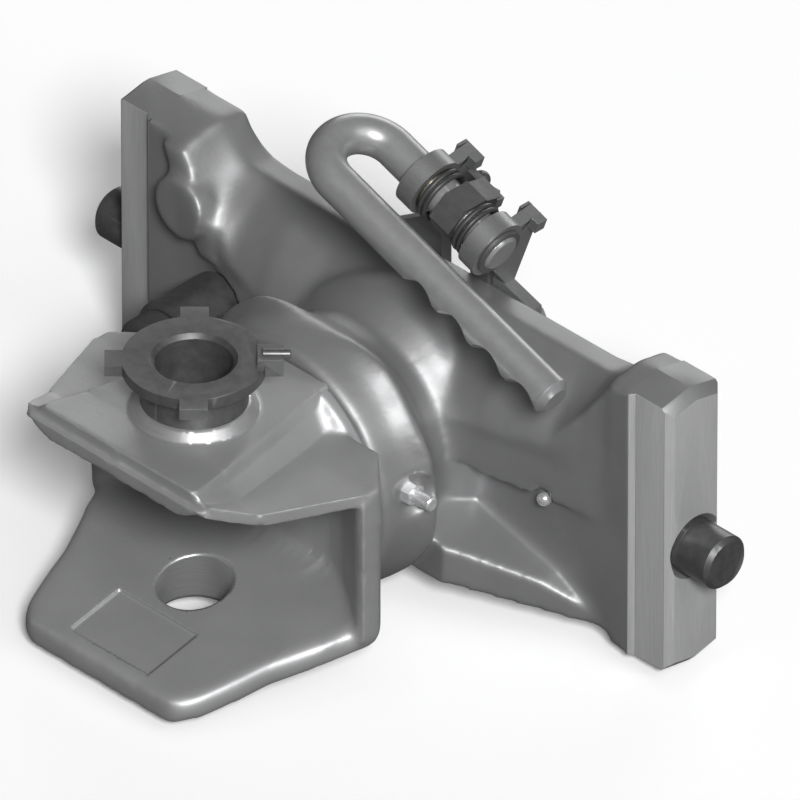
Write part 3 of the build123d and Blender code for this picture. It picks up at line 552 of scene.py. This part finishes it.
def turned_faces(mesh):
    """Index 1 on the conical boss, in the coupling pin's bores and on the shank, else 0."""
    _, (x, y, z) = face_places(mesh)
    bore = np.hypot(x, y)
    boss = (bore < 28.6) & (z > 54.9)
    inside = (bore < 17.2) | ((bore < 23.2) & (z > 30.0))
    behind = y > 51.3
    return (boss | inside | behind).astype(np.int32)


cast = even_mesh("carriage", SQUARES)
solid_places = places(cast) / MM
cast.vertices.foreach_set("co", (shoulders(flare(solid_places), solid_places) * MM).ravel())
relax(cast, CARRIAGE_PASSES, carriage_weight)
carriage_finishes = [carriage_paint, rail_steel]
cast_skin("carriage", between_seams(cast), carriage_finishes, machined_faces, angle=60)
cast_skin("carriage", beyond_seams(nodes["carriage"].data), carriage_finishes, machined_faces, angle=25)
plates = fine_mesh("jaw", SPACING)
plates.vertices.foreach_set("co", (hollow(places(plates) / MM) * MM).ravel())
relax(plates, JAW_PASSES, jaw_weight)
cast_skin("jaw", plates, [jaw_paint, turned_steel], turned_faces)


# Turned and cut pieces
SHAFT_POINT = Vector((49.8, 130.0, 95.7))
SHAFT_TILT = math.radians(20.1)
TAB_RISE = 6.4
TAB_BEHIND = 18.5
TAB_ABOVE = -5.0


def raise_tab(work):
    """Lifts an ear's rear tab, with the plate's corner that carries it, across the handle's shaft."""
    upward = Vector((math.sin(SHAFT_TILT), 0, math.cos(SHAFT_TILT)))
    for vert in work.verts:
        offset = vert.co / MM - SHAFT_POINT
        if offset.y > TAB_BEHIND and offset.dot(upward) > TAB_ABOVE:
            vert.co += upward * TAB_RISE * MM


def eased(name, width):
    """Copy of a turned or cut piece with its sharp edges eased by a small round."""
    work = bmesh.new()
    work.from_mesh(nodes[name].data)
    bmesh.ops.remove_doubles(work, verts=work.verts, dist=EASE_WELD * MM)
    if name.endswith("_ear"):
        raise_tab(work)
    ease_edges(work, width)
    mesh = bpy.data.meshes.new(name + "_eased")
    work.to_mesh(mesh)
    work.free()
    smooth_shading(mesh)
    piece = bpy.data.objects.new(name + "_eased", mesh)
    piece.modifiers.new("face_normals", "WEIGHTED_NORMAL").keep_sharp = True
    return settle(piece, name, [finish_of_slot[slots[name]]])


# Width of the eased edges, in millimetres
EASED = {
    "pin_guide_bush": 0.5,
    "bush_lock_pin": 0.4,
    "left_bracket_ear": 0.7,
    "right_bracket_ear": 0.7,
    "bracket_screws": 0.4,
    "drive_block": 0.5,
    "handle": 0.8,
    "lift_plate": 0.5,
    "lift_plate_guide_screws": 0.4,
    "left_locking_bolt": 0.3,
    "right_locking_bolt": 0.3,
    "plunger_housing": 0.6,
    "plunger_knob": 0.6,
    "hub_grease_nipple": 0.3,
    "rear_cover": 0.3,
    "shank_nut": 0.4,
}

for name, width in EASED.items():
    eased(name, width)


# Torsion springs, wound smoothly about the handle's shaft
SPRING_STARTS = (-37.85, -16.05)
SPRING_TURNS = 2
SPRING_PITCH = 2.7
SPRING_RADIUS = 11.3
SPRING_WIRE = 1.15
SPRING_STEPS = 40


def torsion_springs(name):
    """Winds the springs as round wire and puts them in place of their CAD node."""
    along = Vector((math.cos(SHAFT_TILT), 0, -math.sin(SHAFT_TILT)))
    first = Vector((0, 1, 0))
    second = along.cross(first)
    curve = bpy.data.curves.new(name + "_wound", "CURVE")
    curve.dimensions = "3D"
    curve.bevel_depth = SPRING_WIRE * MM
    curve.bevel_resolution = 3
    curve.use_fill_caps = True
    steps = SPRING_TURNS * SPRING_STEPS
    for start in SPRING_STARTS:
        line = curve.splines.new("POLY")
        line.points.add(steps)
        for index, point in enumerate(line.points):
            turn = index / SPRING_STEPS
            angle = turn * math.tau
            place = SHAFT_POINT + along * (start + SPRING_PITCH * turn)
            place += (first * math.cos(angle) + second * math.sin(angle)) * SPRING_RADIUS
            point.co = (*(place * MM), 1.0)
    holder = bpy.data.objects.new(name + "_curve", curve)
    mesh = bpy.data.meshes.new_from_object(holder)
    bpy.data.objects.remove(holder)
    smooth_shading(mesh)
    return settle(bpy.data.objects.new(name + "_wound", mesh), name, [finish_of_slot[slots[name]]])


torsion_springs("handle_return_spring")


# Pieces that show their CAD mesh
REPLACED = {"carriage", "jaw", "handle_return_spring", *EASED}

for name, source in nodes.items():
    if name not in REPLACED:
        source.data.materials.clear()
        source.data.materials.append(finish_of_slot[slots[name]])


# Floor, world and lamps
FLOOR_DROP = 0.0005
FLOOR_REACH = 20.0
FLOOR_GLOW = 0.16

floor_material = Shader("pale_floor")
path = floor_material.add("ShaderNodeLightPath")
lift = floor_material.add("ShaderNodeMath", {0: path.outputs["Is Camera Ray"]}, operation="MULTIPLY")
lift.inputs[1].default_value = FLOOR_GLOW
tone = floor_material.ramp(floor_material.noise(6.0, 3.0), [(0.2, (0.86, 0.86, 0.86)), (0.8, (0.88, 0.88, 0.88))])
floor_material.principled.inputs["Emission Color"].default_value = (1.0, 1.0, 1.0, 1.0)
floor_material.tree.links.new(lift.outputs[0], floor_material.principled.inputs["Emission Strength"])
tone = floor_material.mix(path.outputs["Is Camera Ray"], (0.1, 0.1, 0.1), tone)
floor_material.finish(tone, Roughness=0.9)

floor_mesh = bpy.data.meshes.new("floor")
floor_z = cad_box[0].z - FLOOR_DROP
corners = [(x * FLOOR_REACH, y * FLOOR_REACH, floor_z) for x, y in ((-1, -1), (1, -1), (1, 1), (-1, 1))]
floor_mesh.from_pydata(corners, [], [(0, 1, 2, 3)])
floor_mesh.materials.append(floor_material.material)
floor = bpy.data.objects.new("floor", floor_mesh)
bpy.context.scene.collection.objects.link(floor)

world = bpy.data.worlds.new("studio")
bpy.context.scene.world = world
world.use_nodes = True
tree = world.node_tree
background = tree.nodes["Background"]
background.inputs["Color"].default_value = (0.5, 0.5, 0.51, 1.0)
background.inputs["Strength"].default_value = 0.18
seen = tree.nodes.new("ShaderNodeBackground")
seen.inputs["Color"].default_value = (1.0, 1.0, 1.0, 1.0)
seen.inputs["Strength"].default_value = 1.0
rays = tree.nodes.new("ShaderNodeLightPath")
blend = tree.nodes.new("ShaderNodeMixShader")
tree.links.new(rays.outputs["Is Camera Ray"], blend.inputs[0])
tree.links.new(background.outputs[0], blend.inputs[1])
tree.links.new(seen.outputs[0], blend.inputs[2])
tree.links.new(blend.outputs[0], tree.nodes["World Output"].inputs["Surface"])


def sun(name, direction, strength, spread):
    """Sun lamp that shines from a direction, with its angular size in degrees."""
    data = bpy.data.lights.new(name, "SUN")
    data.energy = strength
    data.angle = math.radians(spread)
    lamp = bpy.data.objects.new(name, data)
    lamp.rotation_euler = Vector(direction).to_track_quat("Z", "Y").to_euler()
    bpy.context.scene.collection.objects.link(lamp)
    return lamp


sun("key", (1.0, -0.75, 0.97), 3.3, 12.0)
sun("side", (1.0, -0.1, 0.8), 0.8, 50.0)
sun("back", (-0.6, 1.0, 0.2), 0.9, 40.0)
